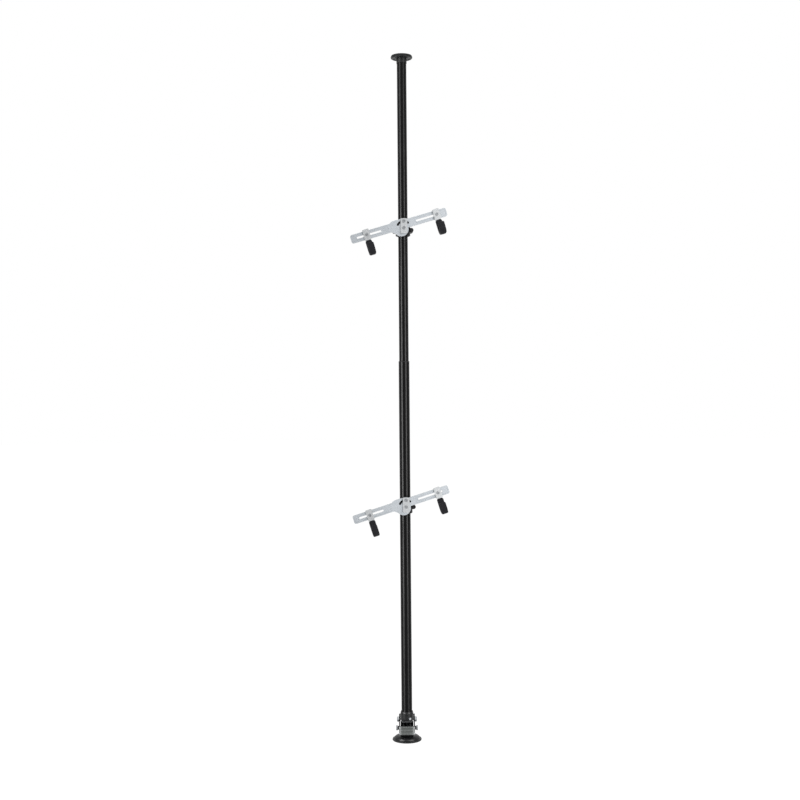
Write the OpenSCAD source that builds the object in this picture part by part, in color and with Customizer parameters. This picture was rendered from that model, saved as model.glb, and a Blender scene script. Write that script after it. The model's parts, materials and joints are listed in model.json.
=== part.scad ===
// Bike storage stand: a telescopic pole braced between floor and ceiling by a foot rocker,
// with two tilting arms that each carry a pair of padded cradles.
// Frame: origin on the pole's axis at the floor, +Z up, the front of the stand towards -Y.

/* [Column] */
// Height from the floor to the ceiling face
stand_h = 2870; // [2700:10:3100]
// Outside diameter of the lower tube
lower_od = 45; // [41:0.5:46]
// Wall of the lower tube
lower_wall = 1.5; // [1.2:0.1:2]
// Length of the lower tube
lower_len = 1500; // [1450:10:1600]
// Wall of the upper tube
upper_wall = 1.6; // [1.2:0.1:2.4]
// Length of the upper tube inside the lower tube
overlap = 477; // [400:1:600]
// Wall of the plastic bush in the mouth of the lower tube
bush_wall = 0.9; // [0.7:0.1:1.2]
// Length of that bush
bush_len = 60; // [55:1:90]
// Thickness of the flanges on the bushes
bush_flange = 3; // [2:0.5:4]
// Distance of the height lock below the mouth of the lower tube
lock_drop = 42; // [30:1:48]
// Diameter of the height lock's boss
lock_boss_d = 22; // [18:1:26]
// Length of the height lock's boss
lock_boss_l = 12; // [8:1:18]
// Diameter of the height lock's knob
lock_knob_d = 34; // [28:1:40]

/* [Ceiling] */
// Diameter of the ceiling disc
cap_d = 90; // [80:1:110]
// Thickness of the ceiling disc
cap_t = 8; // [7:0.5:12]
// Thickness of the rubber on the ceiling disc
cap_sole_t = 4; // [3:0.5:6]
// Travel of the sprung ceiling disc
cap_travel = 12; // [10.5:0.5:18]
// Diameter of the ceiling disc's stem
stem_d = 14; // [12:0.5:16]
// Length of the bush that guides the stem
stem_bush_len = 40; // [30:1:50]
// Length of the tension spring at rest
spring_len = 90; // [80:1:120]
// Diameter of the spring's wire
wire_d = 3.5; // [2.5:0.1:4]
// Working curls of the spring
spring_curls = 9; // [6:1:10]

/* [Foot] */
// Diameter of the floor pad
pad_d = 122; // [116:1:140]
// Height of the floor pad's top
pad_h = 22; // [18:0.5:23]
// Thickness of the floor pad's rubber sole
sole_t = 3; // [2:0.5:4]
// Inside width of the yoke
yoke_in = 48; // [48:0.5:50]
// Thickness of the yoke's plates
yoke_t = 3; // [2:0.25:4]
// Turn of the foot about the pole, away from the front of the arms, in degrees
foot_turn = -5; // [-90:1:90]
// Height of the rocker's shaft above the floor
pivot_h = 55; // [53:0.5:58]
// Diameter of the rocker's shaft
shaft_d = 12; // [10:0.5:13]
// Diameter of the guide spindle
spindle_d = 16; // [14:0.5:18]
// Length of the screws that hold the yoke on the pad
yoke_screw_l = 14; // [10:1:16]
// Height of the top of the guide disc
spindle_top = 200; // [170:5:260]

/* [Rocker] */
// Distance of the cams' contact line behind the rocker's shaft
cam_arm = 16; // [15:0.5:17]
// Height of the cams above their shaft when the stand is locked
cam_top = 24; // [23:0.5:26]
// Travel of the rocker from locked to free, in degrees
rocker_travel = 36; // [30:1:36]
// Thickness of each cam
cam_t = 6; // [4:0.5:7]
// Thickness of the rocker's side arms
rocker_t = 4.5; // [3:0.5:5]
// Thickness of the front tread
tread_t = 5; // [5:0.5:6]
// Length of the front tread
tread_len = 34; // [30:1:38]
// Number of ribs on the front tread
tread_ribs = 3; // [2:1:4]
// Width of each of those ribs
tread_rib_w = 6.5; // [4:0.5:7]
// Thickness of the rear tread
rear_tread_t = 4; // [3:0.5:5]
// Length of the rear tread
rear_tread_len = 34; // [28:1:40]
// Length of the spacers between the rocker's arms and the ends of its shaft
spacer_l = 6; // [4:0.5:8]

/* [Mounts] */
// Height of the upper arm's pivot
upper_mount_z = 2142; // [1800:1:2500]
// Tilt of the upper arm, in degrees
upper_tilt = 16.5; // [-30:0.1:40]
// Height of the lower arm's pivot
lower_mount_z = 981; // [500:1:1380]
// Tilt of the lower arm, in degrees
lower_tilt = 17.3; // [-30:0.1:40]
// Wall of the liner on the lower tube
liner_t = 2; // [1.5:0.25:3]
// Height of the clamp
clamp_h = 56; // [50:1:70]
// Wall of the clamp
clamp_wall = 6; // [5:0.5:8]
// Diameter of the clamp's knob
clamp_knob_d = 20; // [18:1:22]

/* [Arms] */
// Thickness of the arm
arm_t = 8; // [6:0.5:10]
// Height of the arm
arm_h = 36; // [32:1:40]
// Height of the arm's middle line above its pivot
arm_rise = 15; // [13:0.5:17]
// Reach of the arm to the left of its pivot
arm_left = 225; // [210:1:260]
// Reach of the arm to the right of its pivot
arm_right = 192; // [175:1:230]
// Width of the slots in the arm
slot_w = 8.4; // [8.2:0.1:9]
// Radius of the tilt slot about the pivot
arc_r = 28; // [27:0.5:29]
// Width of the face plate
face_w = 28; // [24:1:32]
// Thickness of the face plate
face_t = 8.4; // [6:0.2:10]

/* [Cradles] */
// Distance of the upper arm's left slider from the pivot
upper_left_at = 157.5; // [100:0.5:190]
// Distance of the upper arm's right slider from the pivot
upper_right_at = 147.5; // [64:0.5:158]
// Distance of the lower arm's left slider from the pivot
lower_left_at = 154; // [100:0.5:190]
// Distance of the lower arm's right slider from the pivot
lower_right_at = 144; // [64:0.5:158]
// Width of a slider
slider_w = 27; // [26:1:34]
// Height of a slider
slider_h = 46; // [44:1:52]
// Thickness of a slider in front of the arm
slider_t = 14.4; // [13:0.2:18]
// Thickness of a hook's bar
bar_t = 4; // [3:0.5:5]
// Width of a hook's bar
bar_w = 22; // [18:0.5:22.5]
// Inside radius of a cradle's pad
cradle_r = 18; // [16:0.5:24]
// Thickness of a cradle's pad
cradle_t = 10; // [8:0.5:12]
// Width of a cradle's pad
cradle_w = 27; // [25:0.5:34]

/* [Hidden] */
$fn = 96;
// Radial clearance of a running or sliding fit
fit = 0.05;
// Gap between flat faces that slide on each other
face_gap = 0.3;
// Length that a cut runs past a face
over = 1;

// Column
foot_shelf = 4;
foot_z = pivot_h + cam_top + 0.1 + 1.9;
lower_z = foot_z + foot_shelf;
lower_top = lower_z + lower_len;
lower_id = lower_od - 2 * lower_wall;
bush_od = lower_id - 2 * fit;
bush_id = bush_od - 2 * bush_wall;
upper_od = bush_id - 2 * fit;
upper_id = upper_od - 2 * upper_wall;
upper_z = lower_top - overlap;
plug_len = 12;
plug_spigot = 20;
lock_z = lower_top - lock_drop;
lock_screw_d = 8;
lock_stand_off = 3;
lock_knob_l = 16;

// Ceiling
cap_z = stand_h - cap_sole_t - cap_t;
upper_top = cap_z - cap_travel - over - bush_flange;
skirt_wall = 1.2;
skirt_overlap = 4;
stem_spigot = cap_t - 3;
stem_bush_z = upper_top - stem_bush_len;
collar_t = 5;
collar_d = upper_id - 3;
collar_z = stem_bush_z - 2 * fit - collar_t;
stem_tail = 25;
seat_len = 20;
seat_z = collar_z - spring_len;
spring_d = upper_id - 4 - wire_d;
spring_rings = 8;

// Foot
pad_rim = 8.6;
pad_flat_r = 30;
dome_steps = 10;
yoke_half_y = 27;
yoke_top = foot_z - 4;
web_top = foot_z - 11;
yoke_screw_d = 5;
yoke_screws = [[-19, -18], [19, -18], [-19, 18], [19, 18]];
spindle_flange_t = 4;
spindle_neck_d = 10;
disc_len = 15;
block_half_x = yoke_in / 2 - face_gap;
block_half_y = 23;
block_corner_r = 29;
collar_foot_z = foot_z + 7;
collar_foot_r = yoke_in / 2 + yoke_t;
collar_foot_h = 24.5;
collar_lip_r = lower_od / 2 + 3;
collar_lip_h = 9;
foot_screw_d = 6;
foot_screw_z = lower_z + 9;
foot_screw_turn = 28;
foot_screw_seat = 25.5;

// Rocker: outlines are drawn as [back, up] from its shaft, which lies at -pivot_y
pivot_y = cam_arm;
rocker_x = yoke_in / 2 + yoke_t + 2;
rocker_hub_r = 11;
tread_face = 25;
tread_turn = 25;
tread_top = -1;
tread_rib_h = 2.2;
tread_border = 8.5;
tread_screw_d = 2.6;
tread_screw_l = 12;
cam_x = 11;
cam_base_r = 10;
rear_bolt = [44, 25];
rear_bolt_d = 8;
rear_eye_r = 9;
rear_tread_low = [42, 36];
rear_tread_rise = 8;
rear_tread_scoop = 60;
cheek_t = 1.6;
cap_nut_t = 9;
cap_nut_d = 22;
shaft_head_t = 6;
shaft_head_d = 21;
arm_outer = rocker_x + rocker_t;
shaft_head_x = arm_outer + spacer_l + 2 * fit;
tread_screw_at = [tread_top - 6, tread_top - tread_len + 6];

// Mounts: depths are distances in front of the pole's axis
liner_od = lower_od + 2 * liner_t;
liner_flange_r = liner_od / 2 + 2.5;
liner_flange_t = 2;
clamp_r = liner_od / 2 + fit + clamp_wall;
clamp_split = 1;
ear_t = 8;
ear_bolt_x = clamp_r + 4.5;
ear_r = 9;
ear_bolt_d = 6;
ear_bolt_z = 10;
ear_half = 18;
knob_z = -4;
knob_screw_d = 8;
knob_stem_d = 10.5;
knob_stand_off = 13;
knob_l = 16;
pad_depth = clamp_r + 4;
pad_low = 24;
pad_high = arc_r + 11;
arm_depth = pad_depth + face_gap;
plate_depth = arm_depth + arm_t + face_gap;
pivot_bolt_d = 8;
pivot_head_d = 13;
pivot_head_t = 5;
bolt_bottom = liner_flange_r + 1;
arc_from = 35;
arc_to = 136;
hub_r = arc_r + 12;
hub_low_r = 30;
hub_low_at = [-11, -2];
hump_r = 28;
hump_x = -34;
arm_corner = 8;
flare_reach = 54;
left_slot = [97.2, 195.8];
right_slot = [62.2, 160.8];
pocket_depth = 1.5;
pocket_inset = 4.5;

// Cradles
lip_t = 4;
slider_bolt_d = 8;
slider_head_d = 12;
slider_head_t = 5;
nut_w = 22;
nut_h = 26;
nut_t = 5;
bar_set = 6.4;
bar_top = 12;
bar_depth = plate_depth + bar_set;
bar_r = cradle_r + cradle_t / 2;
cradle_depth = bar_depth + bar_t / 2 + bar_r;
cradle_z = -46.5;
cradle_back = arm_rise - slider_h / 2 - over - cradle_z;
cradle_front = 23.5;
cradle_corner = 7;
bar_front = 17.5;

// Helpers

// Extrudes an outline drawn as [x, z] from depth d in front of the axis, forwards by t
module facing(d, t) {
    translate([0, -d, 0]) rotate([90, 0, 0]) linear_extrude(t) children();
}

// Extrudes an outline drawn as [y, z] from x by t along X
module across(x, t) {
    translate([x, 0, 0]) rotate([90, 0, 90]) linear_extrude(t) children();
}

// A round bar along Y, from depth d0 to depth d1 in front of the axis
module rod_y(d0, d1, d) {
    translate([0, -d0, 0]) rotate([90, 0, 0]) cylinder(h = d1 - d0, d = d);
}

// A round bar along X
module rod_x(x0, x1, d) {
    translate([x0, 0, 0]) rotate([0, 90, 0]) cylinder(h = x1 - x0, d = d);
}

// A cap along X with a chamfered outer face, whose inner face lies at x
module cap_x(x, t, d) {
    edge = 0.3 * t;
    rod_x(x, x + t - edge, d);
    translate([x + t - edge, 0, 0]) rotate([0, 90, 0])
        cylinder(h = edge, d1 = d, d2 = d - 2 * edge);
}

// A hexagonal head along Y, given across its flats
module hex_y(d0, d1, flats) {
    translate([0, -d0, 0]) rotate([90, 0, 0]) cylinder(h = d1 - d0, d = flats / cos(30), $fn = 6);
}

// A tube standing on z
module tube(z, h, od, id) {
    translate([0, 0, z]) difference() {
        cylinder(h = h, d = od);
        translate([0, 0, -over]) cylinder(h = h + 2 * over, d = id);
    }
}

// The same on both sides of the stand
module both_sides() {
    children();
    mirror([1, 0, 0]) children();
}

// A rectangle with round corners, from corner a to corner b
module rounded(a, b, r) {
    translate([a[0] + r, a[1]]) square([b[0] - a[0] - 2 * r, b[1] - a[1]]);
    translate([a[0], a[1] + r]) square([b[0] - a[0], b[1] - a[1] - 2 * r]);
    for (x = [a[0] + r, b[0] - r])
        for (z = [a[1] + r, b[1] - r])
            translate([x, z]) circle(r);
}

// A slot with round ends, whose end centres lie at x0 and x1
module slot(x0, x1, z, w) {
    translate([x0, z - w / 2]) square([x1 - x0, w]);
    for (x = [x0, x1]) translate([x, z]) circle(d = w);
}

// A knob along Y with lobes, from depth d0 to depth d1
module lobed_knob(d0, d1, d, lobes) {
    difference() {
        rod_y(d0, d1, d);
        for (i = [0 : lobes - 1])
            rotate([0, i * 360 / lobes, 0]) translate([d * 0.56, 0, 0])
                rod_y(d0 - over, d1 + over, d * 0.26);
    }
}

// Foot

module floor_sole() {
    color("#1c1c1e") cylinder(h = sole_t, d = pad_d - 6);
}

// Turns a piece of the foot to where the foot faces
module on_foot() {
    rotate([0, 0, foot_turn]) children();
}

module floor_pad() {
    r = pad_d / 2;
    color("#232527") difference() {
        rotate_extrude() polygon(concat(
            [[0, sole_t], [r - 2.8, sole_t], [r - 2.8, sole_t - 2], [r - 1, sole_t - 2],
             [r, sole_t - 0.5], [r, pad_rim - 2.6], [r - 1.5, pad_rim - 0.6]],
            [for (i = [0 : dome_steps])
                let (turn = 90 * i / dome_steps, reach = r - 7 - pad_flat_r)
                [pad_flat_r + reach * cos(turn), pad_rim + (pad_h - pad_rim) * sin(turn)]],
            [[0, pad_h]]));
        on_foot() for (p = yoke_screws)
            translate([p[0], p[1], pad_h + yoke_t - yoke_screw_l - fit])
                cylinder(h = yoke_screw_l, d = yoke_screw_d + 2 * fit);
    }
}

module yoke_side() {
    base = pad_h - pivot_h;
    difference() {
        polygon([[-rocker_hub_r, base], [yoke_half_y + pivot_y, base], [yoke_half_y + pivot_y, -8],
                 [30, yoke_top - pivot_h], [4, yoke_top - pivot_h], [-rocker_hub_r, 12]]);
        circle(d = shaft_d + 2 * fit);
    }
}

module base_yoke() {
    half = yoke_in / 2;
    color("#2a2c2e") on_foot() difference() {
        union() {
            translate([-half - yoke_t, -rocker_hub_r - pivot_y, pad_h])
                cube([yoke_in + 2 * yoke_t, rocker_hub_r + pivot_y + yoke_half_y, yoke_t]);
            translate([-half - yoke_t, yoke_half_y - yoke_t, pad_h])
                cube([yoke_in + 2 * yoke_t, yoke_t, web_top - pad_h]);
            both_sides() translate([0, -pivot_y, pivot_h]) across(half, yoke_t) yoke_side();
        }
        for (p = yoke_screws)
            translate([p[0], p[1], pad_h - over])
                cylinder(h = yoke_t + 2 * over, d = yoke_screw_d + 2 * fit);
    }
}

// The screws that hold the yoke on the pad are driven into the pad's blind holes
module yoke_screw() {
    seat = pad_h + yoke_t;
    translate([0, 0, seat - yoke_screw_l]) cylinder(h = yoke_screw_l, d = yoke_screw_d);
    translate([0, 0, seat]) cylinder(h = 3, d = 9);
}

module base_fasteners() {
    color("#b9bcc0") {
        on_foot() for (p = yoke_screws) translate([p[0], p[1], 0]) yoke_screw();
        difference() {
            translate([0, 0, spindle_top]) cylinder(h = 8, d = 17 / cos(30), $fn = 6);
            translate([0, 0, spindle_top - over])
                cylinder(h = 8 + 2 * over, d = spindle_neck_d + 2 * fit);
        }
    }
}

module guide_spindle() {
    base = pad_h + yoke_t;
    color("#a9adb2") union() {
        translate([0, 0, base]) cylinder(h = spindle_flange_t, d = spindle_d + 10);
        translate([0, 0, base]) cylinder(h = spindle_top - disc_len - base, d = spindle_d);
        translate([0, 0, base]) cylinder(h = spindle_top + 8 - base, d = spindle_neck_d);
    }
}

module guide_disc() {
    color("#e2e2dc")
        tube(spindle_top - disc_len, disc_len, lower_id - 2 * fit, spindle_neck_d + 2 * fit);
}

// One screw at the front and one across from it
module foot_screw_place() {
    for (half_turn = [0, 180])
        translate([0, 0, foot_screw_z]) rotate([0, 0, foot_screw_turn + half_turn]) children();
}

module column_foot() {
    color("#232527") on_foot() difference() {
        union() {
            translate([0, 0, foot_z]) linear_extrude(collar_foot_z - foot_z) intersection() {
                square([2 * block_half_x, 2 * block_half_y], center = true);
                circle(block_corner_r);
            }
            translate([0, 0, collar_foot_z]) cylinder(h = collar_foot_h, r = collar_foot_r);
            translate([0, 0, collar_foot_z + collar_foot_h])
                cylinder(h = collar_lip_h, r1 = collar_foot_r, r2 = collar_lip_r);
        }
        translate([0, 0, lower_z]) cylinder(h = 60, d = lower_od + 2 * fit);
        translate([0, 0, foot_z - over]) cylinder(h = foot_shelf + 2 * over, d = spindle_d + 2 * fit);
        foot_screw_place() rod_y(lower_od / 2 - 2, block_corner_r + over, foot_screw_d + 2 * fit);
        foot_screw_place() rod_y(foot_screw_seat, block_corner_r + over, foot_screw_d + 5);
    }
}

module wear_plate() {
    color("#8d9196") on_foot() translate([0, 0, pivot_h + cam_top + 0.1])
        linear_extrude(1.9) difference() {
            square([2 * block_half_x - 3, 2 * block_half_y - 6], center = true);
            circle(d = spindle_d + 1);
        }
}

module foot_screws() {
    color("#d3d6d9") on_foot() foot_screw_place() {
        rod_y(lower_od / 2 + 2 * fit, foot_screw_seat, foot_screw_d);
        rod_y(foot_screw_seat, foot_screw_seat + 3.5, foot_screw_d + 4);
    }
}

// Rocker

module on_pivot() {
    on_foot() translate([0, -pivot_y, pivot_h]) children();
}

// The shaft has one fixed head, and a cap on its other end
module rocker_shaft() {
    end = shaft_head_x + shaft_head_t - 2;
    color("#a9adb2") on_pivot() {
        rod_x(-shaft_head_x - over, end, shaft_d);
        mirror([1, 0, 0]) cap_x(shaft_head_x, shaft_head_t, shaft_head_d);
        difference() {
            cap_x(shaft_head_x, shaft_head_t, shaft_head_d);
            rod_x(shaft_head_x - over, end + fit, shaft_d + 2 * fit);
        }
    }
}

module shaft_spacers() {
    color("#17181a") on_pivot() both_sides() difference() {
        rod_x(arm_outer + fit, arm_outer + fit + spacer_l, shaft_d + 4);
        rod_x(arm_outer - over, arm_outer + spacer_l + over, shaft_d + 2 * fit);
    }
}

// Turns an outline drawn as [out of the tread, up along it] to the tread's place
module on_tread() {
    mirror([1, 0]) rotate(tread_turn) children();
}

// The front tread's screws or their holes, from depth d0 to depth d1 behind its front
module tread_screw_rods(d0, d1, d) {
    both_sides() rotate([-tread_turn, 0, 0]) for (at = tread_screw_at)
        translate([rocker_x + rocker_t / 2, 0, at]) rod_y(d0, d1, d);
}

// Turns an outline drawn as [along the rear tread, up from its top face] to its place
module on_rear_tread() {
    translate(rear_tread_low) rotate(rear_tread_rise) children();
}

// What carries the rear tread, up to the given depth below its top face
module rear_support(depth) {
    foot = [rear_tread_low[0] + 10, rear_bolt[1] - 6];
    top = rear_tread_low[1] + 10;
    intersection() {
        polygon([rear_bolt - [6, 6], [rear_tread_low[0], top], [foot[0] + 14, top], foot]);
        on_rear_tread() translate([0, -2 * top]) square([rear_tread_len, 2 * top - depth]);
    }
}

module rocker_side() {
    low = tread_top - tread_len - 1;
    turn = atan2(rear_bolt[1], rear_bolt[0]);
    difference() {
        union() {
            circle(rocker_hub_r);
            on_tread() polygon([[0, -rocker_hub_r + 1], [tread_face, low], [tread_face, tread_top + 2],
                                [0, rocker_hub_r - 1]]);
            rotate(turn) translate([0, -rear_eye_r + 0.5])
                square([norm(rear_bolt), 2 * rear_eye_r - 1]);
            translate(rear_bolt) circle(rear_eye_r);
            rear_support(rear_tread_t);
        }
        on_rear_tread() translate([-rear_eye_r, -rear_tread_t]) square([rear_tread_len, rear_tread_len]);
        circle(d = shaft_d + 2 * fit);
        translate(rear_bolt) circle(d = rear_bolt_d + 2 * fit);
    }
}

module rocker_arms() {
    color("#1f2123") on_pivot() difference() {
        both_sides() across(rocker_x, rocker_t) rocker_side();
        tread_screw_rods(tread_face + tread_t - tread_screw_l - fit, tread_face + over,
                         tread_screw_d + 2 * fit);
    }
}

module front_tread() {
    low = tread_top - tread_len;
    pitch = (tread_len - tread_rib_w - 1) / (tread_ribs - 1);
    rib_x = arm_outer - tread_border;
    color("#9b9fa1") on_pivot() difference() {
        union() {
            across(-arm_outer, 2 * arm_outer) on_tread()
                translate([tread_face, low]) square([tread_t, tread_len]);
            across(-rib_x, 2 * rib_x) on_tread() for (i = [0 : tread_ribs - 1])
                translate([tread_face + tread_t - over, low + 0.5 + i * pitch])
                    square([tread_rib_h + over, tread_rib_w]);
        }
        tread_screw_rods(tread_face - over, tread_face + tread_t + over, tread_screw_d + 2 * fit);
    }
}

// The rear tread is scooped out behind, and clears the collar and its screw in front
module rear_tread() {
    half = arm_outer;
    inner = rocker_x - 0.1 - cheek_t;
    scoop = rear_tread_len + sqrt(rear_tread_scoop * rear_tread_scoop - half * half);
    color("#1b1c1e") on_pivot() difference() {
        union() {
            across(-half, 2 * half) on_rear_tread()
                translate([0, -rear_tread_t]) square([rear_tread_len, rear_tread_t]);
            across(-half + 6, 2 * (half - 6)) on_rear_tread()
                for (i = [0 : 4]) translate([4 + i * 6, -over]) square([3, 1.4 + over]);
            both_sides() across(inner, cheek_t) {
                translate(rear_bolt) circle(rear_eye_r - 0.5);
                rear_support(over);
            }
        }
        translate([0, rear_tread_low[0], rear_tread_low[1]]) rotate([rear_tread_rise, 0, 0])
            translate([0, scoop, -half]) cylinder(h = 2 * half, r = rear_tread_scoop);
        translate([0, pivot_y, 0]) cylinder(h = 2 * half, r = collar_foot_r + 3.5);
        translate([0, rear_bolt[0], rear_bolt[1]]) rod_x(-2 * half, 2 * half, rear_bolt_d + 2 * fit);
    }
}

function cam_height(turn) = cam_top - cam_arm * turn * PI / 180;
function cam_point(turn) = [
    cam_arm * cos(turn) - cam_height(turn) * sin(turn),
    cam_arm * sin(turn) + cam_height(turn) * cos(turn)];

module lift_cams() {
    color("#8d9196") on_pivot() both_sides() across(cam_x, cam_t) difference() {
        union() {
            circle(cam_base_r);
            polygon(concat([[9, -4]], [for (turn = [-6 : 2 : rocker_travel + 2]) cam_point(turn)],
                           [[-9, 4]]));
        }
        circle(d = shaft_d + 2 * fit);
    }
}

module tread_bolts() {
    inner = arm_outer + fit;
    face = tread_face + tread_t;
    color("#c9ccce") on_pivot() {
        translate([0, rear_bolt[0], rear_bolt[1]]) {
            rod_x(-inner - cap_nut_t + 3, inner + cap_nut_t - 3, rear_bolt_d);
            both_sides() difference() {
                cap_x(inner, cap_nut_t, cap_nut_d);
                rod_x(inner - over, inner + cap_nut_t - 3 + fit, rear_bolt_d + 2 * fit);
            }
        }
        tread_screw_rods(face - tread_screw_l, face + over, tread_screw_d);
        tread_screw_rods(face, face + 1.6, 5);
    }
}

// Column

module lower_tube() {
    color("#16171a") difference() {
        tube(lower_z, lower_len, lower_od, lower_id);
        translate([0, 0, lock_z]) rod_y(-lower_od, 0, lock_screw_d + 4 * fit);
    }
}

module telescope_bush() {
    color("#3a3c3f") difference() {
        union() {
            tube(lower_top - bush_len, bush_len + bush_flange, bush_od, bush_id);
            tube(lower_top, bush_flange, lower_od, bush_id);
        }
        translate([0, 0, lock_z]) rod_y(-lower_od, 0, lock_screw_d + 4 * fit);
    }
}

module upper_tube() {
    color("#16171a") tube(upper_z, upper_top - upper_z, upper_od, upper_id);
}

module slide_plug() {
    color("#e2e2dc") union() {
        tube(upper_z - plug_len, plug_len, lower_id - 2 * fit, upper_id - 8);
        tube(upper_z - plug_len, plug_len + plug_spigot, upper_id - 2 * fit, upper_id - 8);
    }
}

module lock_boss() {
    color("#232527") difference() {
        translate([0, 0, lock_z]) rod_y(-lower_od / 2 - lock_boss_l, -lower_od / 4, lock_boss_d);
        translate([0, 0, lock_z - lock_boss_d]) cylinder(h = 2 * lock_boss_d, d = lower_od + 0.04);
        translate([0, 0, lock_z]) rod_y(-2 * lower_od, 0, lock_screw_d + 2 * fit);
    }
}

module lock_knob() {
    face = lower_od / 2 + lock_boss_l + lock_stand_off;
    color("#1b1c1e") translate([0, 0, lock_z]) {
        lobed_knob(-face - lock_knob_l, -face, lock_knob_d, 6);
        rod_y(-face - over, -upper_od / 2 - 0.1, lock_screw_d);
    }
}

// Ceiling

module ceiling_cap() {
    skirt_id = upper_od + 2 * face_gap;
    skirt_z = upper_top - skirt_overlap;
    color("#232527") difference() {
        union() {
            translate([0, 0, cap_z + 2]) cylinder(h = cap_t - 2, d = cap_d);
            translate([0, 0, cap_z]) cylinder(h = 2, d1 = cap_d - 6, d2 = cap_d);
            translate([0, 0, skirt_z])
                cylinder(h = cap_z + over - skirt_z, d = skirt_id + 2 * skirt_wall);
        }
        translate([0, 0, skirt_z - over]) cylinder(h = cap_z + over - skirt_z, d = skirt_id);
        translate([0, 0, cap_z - over])
            cylinder(h = stem_spigot + over + fit, d = stem_d + 2 * fit);
        difference() {
            translate([0, 0, cap_z - over]) cylinder(h = 1.5 + over, d = cap_d - 16);
            translate([0, 0, cap_z - 2 * over])
                cylinder(h = 4 + over, d = skirt_id + 2 * skirt_wall + 14);
        }
    }
}

module ceiling_sole() {
    color("#1c1c1e") translate([0, 0, stand_h - cap_sole_t]) cylinder(h = cap_sole_t, d = cap_d - 4);
}

module ceiling_stem() {
    color("#a9adb2") union() {
        translate([0, 0, collar_z - stem_tail])
            cylinder(h = cap_z + stem_spigot - collar_z + stem_tail, d = stem_d);
        translate([0, 0, collar_z]) cylinder(h = collar_t, d = collar_d);
    }
}

module top_bush() {
    color("#e2e2dc") union() {
        tube(stem_bush_z, stem_bush_len, upper_id - 2 * fit, stem_d + 2 * fit);
        tube(upper_top, bush_flange, upper_od, stem_d + 2 * fit);
    }
}

module spring_seat() {
    color("#e2e2dc") translate([0, 0, seat_z - seat_len])
        cylinder(h = seat_len, d = upper_id - 2 * fit);
}

// The wire is one tube of six sides round a helix, whose end rings are closed by fans
module tension_spring() {
    sides = 6;
    steps = spring_curls * spring_rings;
    low = seat_z + wire_d / 2 + 0.1;
    high = seat_z + spring_len - wire_d / 2 - 0.1;
    points = [for (i = [0 : steps]) let (turn = 360 * i / spring_rings)
        for (k = [0 : sides - 1]) let (
            around = 360 * k / sides,
            r = spring_d / 2 + wire_d / 2 * cos(around))
        [r * cos(turn), r * sin(turn), low + (high - low) * i / steps + wire_d / 2 * sin(around)]];
    walls = [for (i = [0 : steps - 1]) for (k = [0 : sides - 1]) let (
        a = i * sides + k,
        b = i * sides + (k + 1) % sides)
        each [[a, b, b + sides], [a, b + sides, a + sides]]];
    start = [for (k = [1 : sides - 2]) [0, k + 1, k]];
    last = steps * sides;
    end = [for (k = [1 : sides - 2]) [last, last + k, last + k + 1]];
    color("#b9bcc0") polyhedron(points = points, faces = concat(walls, start, end));
}

// Mounts

module liner(z, od) {
    half = clamp_h / 2 + 0.2;
    color("#1c1c1e") translate([0, 0, z]) difference() {
        union() {
            translate([0, 0, -half]) cylinder(h = 2 * half, d = liner_od);
            for (base = [-half - liner_flange_t, half])
                translate([0, 0, base]) cylinder(h = liner_flange_t, r = liner_flange_r);
        }
        translate([0, 0, -half - 2 * liner_flange_t])
            cylinder(h = 2 * half + 4 * liner_flange_t, d = od + 2 * fit);
        translate([-1, 0, -half - 2 * liner_flange_t])
            cube([2, liner_od, 2 * half + 4 * liner_flange_t]);
    }
}

// The bore for the liner and the gap between the clamp's halves
module clamp_cuts() {
    translate([0, 0, -clamp_h]) cylinder(h = 2 * clamp_h, d = liner_od + 2 * fit);
    for (z = [-ear_bolt_z, ear_bolt_z])
        translate([-ear_bolt_x, 0, z]) rod_y(-60, 60, ear_bolt_d + 2 * fit);
    translate([ear_bolt_x, 0, knob_z]) rod_y(-60, 60, knob_screw_d + 2 * fit);
}

// Both ears of one half, from the split to their outer face
module ears(d0) {
    left = ear_bolt_x + 7;
    facing(d0, ear_t) {
        rounded([-left, -ear_half], [-clamp_r + 3, ear_half], 2);
        translate([ear_bolt_x, knob_z]) circle(ear_r);
        translate([clamp_r - 3, knob_z - ear_r]) square([ear_bolt_x - clamp_r + 3, 2 * ear_r]);
    }
}

module clamp_shell(side) {
    intersection() {
        translate([0, 0, -clamp_h / 2]) cylinder(h = clamp_h, r = clamp_r);
        translate([-clamp_r, side > 0 ? clamp_split : -clamp_r - clamp_split, -clamp_h / 2])
            cube([2 * clamp_r, clamp_r, clamp_h]);
    }
}

module clamp_front(z) {
    color("#232527") translate([0, 0, z]) difference() {
        union() {
            clamp_shell(-1);
            ears(clamp_split);
            facing(liner_od / 2 - 6, pad_depth - liner_od / 2 + 6)
                rounded([-face_w / 2 - 2, -pad_low], [face_w / 2 + 2, pad_high], 4);
        }
        clamp_cuts();
        translate([0, 0, clamp_h / 2])
            cylinder(h = pad_high, r = liner_flange_r + face_gap);
        for (up = [0, arc_r]) translate([0, 0, up])
            rod_y(bolt_bottom - fit, pad_depth + over, pivot_bolt_d + 2 * fit);
    }
}

module clamp_rear(z) {
    color("#232527") translate([0, 0, z]) difference() {
        union() {
            clamp_shell(1);
            ears(-clamp_split - ear_t);
        }
        clamp_cuts();
    }
}

module clamp_bolts(z) {
    outer = clamp_split + ear_t;
    color("#b9bcc0") for (up = [-ear_bolt_z, ear_bolt_z])
        translate([-ear_bolt_x, 0, z + up]) {
            rod_y(-outer, outer, ear_bolt_d);
            rod_y(outer, outer + 4, 10);
            hex_y(-outer - 5, -outer, 10);
        }
}

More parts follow.
